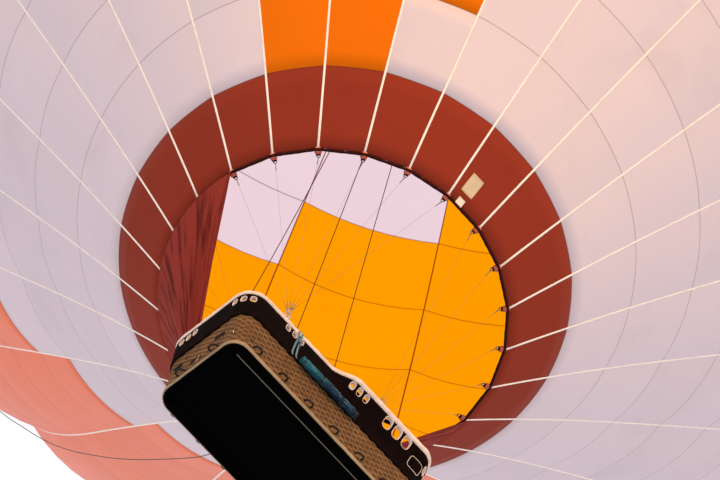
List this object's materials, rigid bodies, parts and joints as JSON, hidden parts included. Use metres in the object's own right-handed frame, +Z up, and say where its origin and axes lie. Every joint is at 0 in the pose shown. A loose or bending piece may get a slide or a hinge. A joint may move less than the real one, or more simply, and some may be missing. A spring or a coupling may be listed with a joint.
{
  "type": "hot air balloon",
  "caption": "Passenger hot air balloon: gored fabric envelope with stepped orange blocks, scoop, burner frame and a partitioned wicker basket.",
  "frame": {"origin": "centre of the air inside the envelope, where the lift acts, on the vertical axis", "axes": "+Z up to the crown ring, +X along the basket's long side"},
  "size_m": [23.5052, 23.5052, 29.8478],
  "materials": {
    "white_cloth": "coated ripstop nylon",
    "orange_cloth": "coated ripstop nylon",
    "red_cloth": "heat resistant cloth",
    "tape": "woven webbing",
    "steel": "satin",
    "dark_steel": "satin",
    "coil": "heat stained",
    "cylinder": "brushed",
    "leather": "worn hide",
    "wicker": "woven cane",
    "board": "black sealed board",
    "edging": "rawhide",
    "blue_cloth": "coated nylon",
    "rope": "laid polyester"
  },
  "bodies": {
    "root": {"white_lower_a": "white_cloth", "white_lower_end_a": "white_cloth", "white_upper_a": "white_cloth", "white_upper_middle_a": "white_cloth", "white_upper_end_a": "white_cloth", "white_lower_b": "white_cloth", "white_lower_end_b": "white_cloth", "white_upper_b": "white_cloth", "white_upper_middle_b": "white_cloth", "white_upper_end_b": "white_cloth", "orange_triangle_a": "orange_cloth", "orange_triangle_b": "orange_cloth", "mouth_band": "red_cloth", "mouth_hem": "red_cloth", "scoop": "red_cloth", "crown_ring": "tape", "karabiner_right_back": "steel", "flying_wires_right_back": "steel", "fuel_cylinder_right_back": "cylinder", "upright_right_back": "leather", "karabiner_left_back": "steel", "flying_wires_left_back": "steel", "fuel_cylinder_left_back": "cylinder", "upright_left_back": "leather", "karabiner_left_front": "steel", "flying_wires_left_front": "steel", "fuel_cylinder_left_front": "cylinder", "upright_left_front": "leather", "karabiner_right_front": "steel", "flying_wires_right_front": "steel", "fuel_cylinder_right_front": "cylinder", "upright_right_front": "leather", "burner_frame": "steel", "basket_floor": "board", "bottom_edging": "edging", "padded_band": "leather", "rim_pad": "leather", "wicker_wall": "wicker", "partition_left": "wicker", "divider_left": "wicker", "partition_right": "wicker", "divider_right": "wicker", "rolled_cover": "blue_cloth", "floor_runner_front": "board", "floor_runner_back": "board", "crown_line": "rope", "crown_line_knot": "rope"},
    "parachute": {"parachute_valve": "white_cloth"},
    "gimbal": {"gimbal_ring": "steel"},
    "burner": {"burner_block": "dark_steel", "burner_can_left": "coil", "burner_can_right": "coil"}
  },
  "joints": [
    {"name": "valve_drop", "type": "slide", "parent": "root", "child": "parachute", "axis": [0, 0, 1], "range_m": [-1.5, 0]},
    {"name": "gimbal_roll", "type": "hinge", "parent": "root", "child": "gimbal", "pos_m": [0, 0, -17.4], "axis": [1, 0, 0], "range_deg": [-10, 10]},
    {"name": "burner_pitch", "type": "hinge", "parent": "gimbal", "child": "burner", "pos_m": [0, 0, -17.4], "axis": [0, 1, 0], "range_deg": [-10, 10]}
  ]
}
